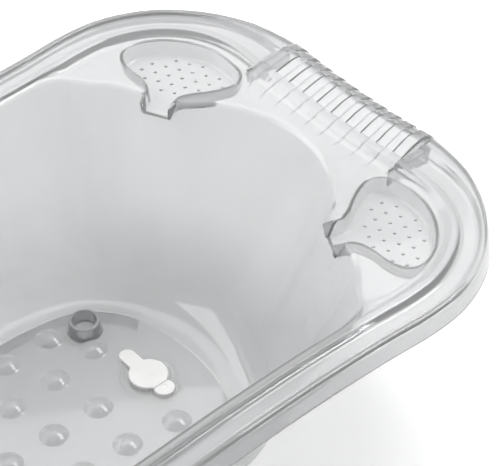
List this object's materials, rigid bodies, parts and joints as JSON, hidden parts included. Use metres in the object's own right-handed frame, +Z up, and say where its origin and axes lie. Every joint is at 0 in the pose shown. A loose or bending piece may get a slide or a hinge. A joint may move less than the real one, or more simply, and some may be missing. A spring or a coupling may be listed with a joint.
{
  "type": "baby bathtub",
  "caption": "Moulded clear plastic baby bathtub with beaded rim, ribbed end grip, corner soap dishes, raised anti-slip floor and a hinged drain plug on a pinned anchor.",
  "frame": {"origin": "centre of the footprint at ground level, under the feet", "axes": "+X along the tub towards the drain and the soap dishes, +Y across it towards the side the plug's pull tab points to, +Z up"},
  "size_m": [0.865, 0.5132, 0.2209],
  "materials": {
    "tub_plastic": "clear, faintly grey, glossy",
    "plug_plastic": "opaque white, satin"
  },
  "bodies": {
    "tub": {"tub_shell": "tub_plastic", "plug_anchor": "plug_plastic"},
    "plug": {"drain_plug": "plug_plastic"}
  },
  "joints": [
    {"name": "plug_lift", "type": "hinge", "parent": "tub", "child": "plug", "pos_m": [0.156, -0.0188, 0.0183], "axis": [1, 0, 0], "range_deg": [0, 120]}
  ]
}
